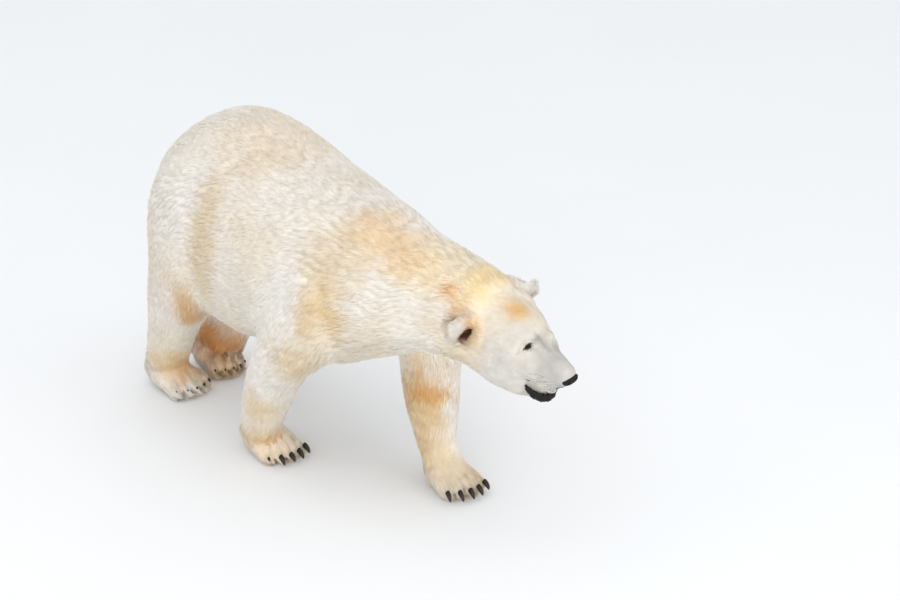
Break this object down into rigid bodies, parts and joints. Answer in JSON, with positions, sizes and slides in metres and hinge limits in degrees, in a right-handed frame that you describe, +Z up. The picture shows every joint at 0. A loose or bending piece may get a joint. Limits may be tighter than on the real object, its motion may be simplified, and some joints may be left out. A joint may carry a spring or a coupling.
{
  "type": "polar bear figure",
  "caption": "Life-size polar bear, stalking ahead with its head held low and a soft cream coat.",
  "frame": {"origin": "On the floor, under the middle of the bear's length and breadth.", "axes": "+Z up, the bear faces -Y, +X is its left side."},
  "size_m": [0.717, 2.1996, 1.1844],
  "materials": {
    "cream_coat": "soft dense fur",
    "black_skin": "moist satin skin",
    "claw_horn": "worn satin horn",
    "brown_eye": "wet gloss"
  },
  "bodies": {
    "root": {"claw_fore_left_1": "claw_horn", "claw_fore_left_2": "claw_horn", "claw_fore_left_3": "claw_horn", "claw_fore_left_4": "claw_horn", "claw_fore_left_5": "claw_horn", "claw_fore_right_1": "claw_horn", "claw_fore_right_2": "claw_horn", "claw_fore_right_3": "claw_horn", "claw_fore_right_4": "claw_horn", "claw_fore_right_5": "claw_horn", "claw_hind_left_1": "claw_horn", "claw_hind_left_2": "claw_horn", "claw_hind_left_3": "claw_horn", "claw_hind_left_4": "claw_horn", "claw_hind_left_5": "claw_horn", "claw_hind_right_1": "claw_horn", "claw_hind_right_2": "claw_horn", "claw_hind_right_3": "claw_horn", "claw_hind_right_4": "claw_horn", "claw_hind_right_5": "claw_horn", "ear_left": "cream_coat", "ear_right": "cream_coat", "eye_left": "brown_eye", "eye_right": "brown_eye", "forearm_left": "cream_coat", "forearm_right": "cream_coat", "head": "cream_coat", "jaw": "cream_coat", "lip_lower": "black_skin", "neck": "cream_coat", "nose": "black_skin", "paw_fore_left": "cream_coat", "paw_fore_right": "cream_coat", "paw_hind_left": "cream_coat", "paw_hind_right": "cream_coat", "shank_left": "cream_coat", "shank_right": "cream_coat", "tail": "cream_coat", "thigh_left": "cream_coat", "thigh_right": "cream_coat", "trunk": "cream_coat", "upper_arm_left": "cream_coat", "upper_arm_right": "cream_coat"}
  },
  "joints": []
}
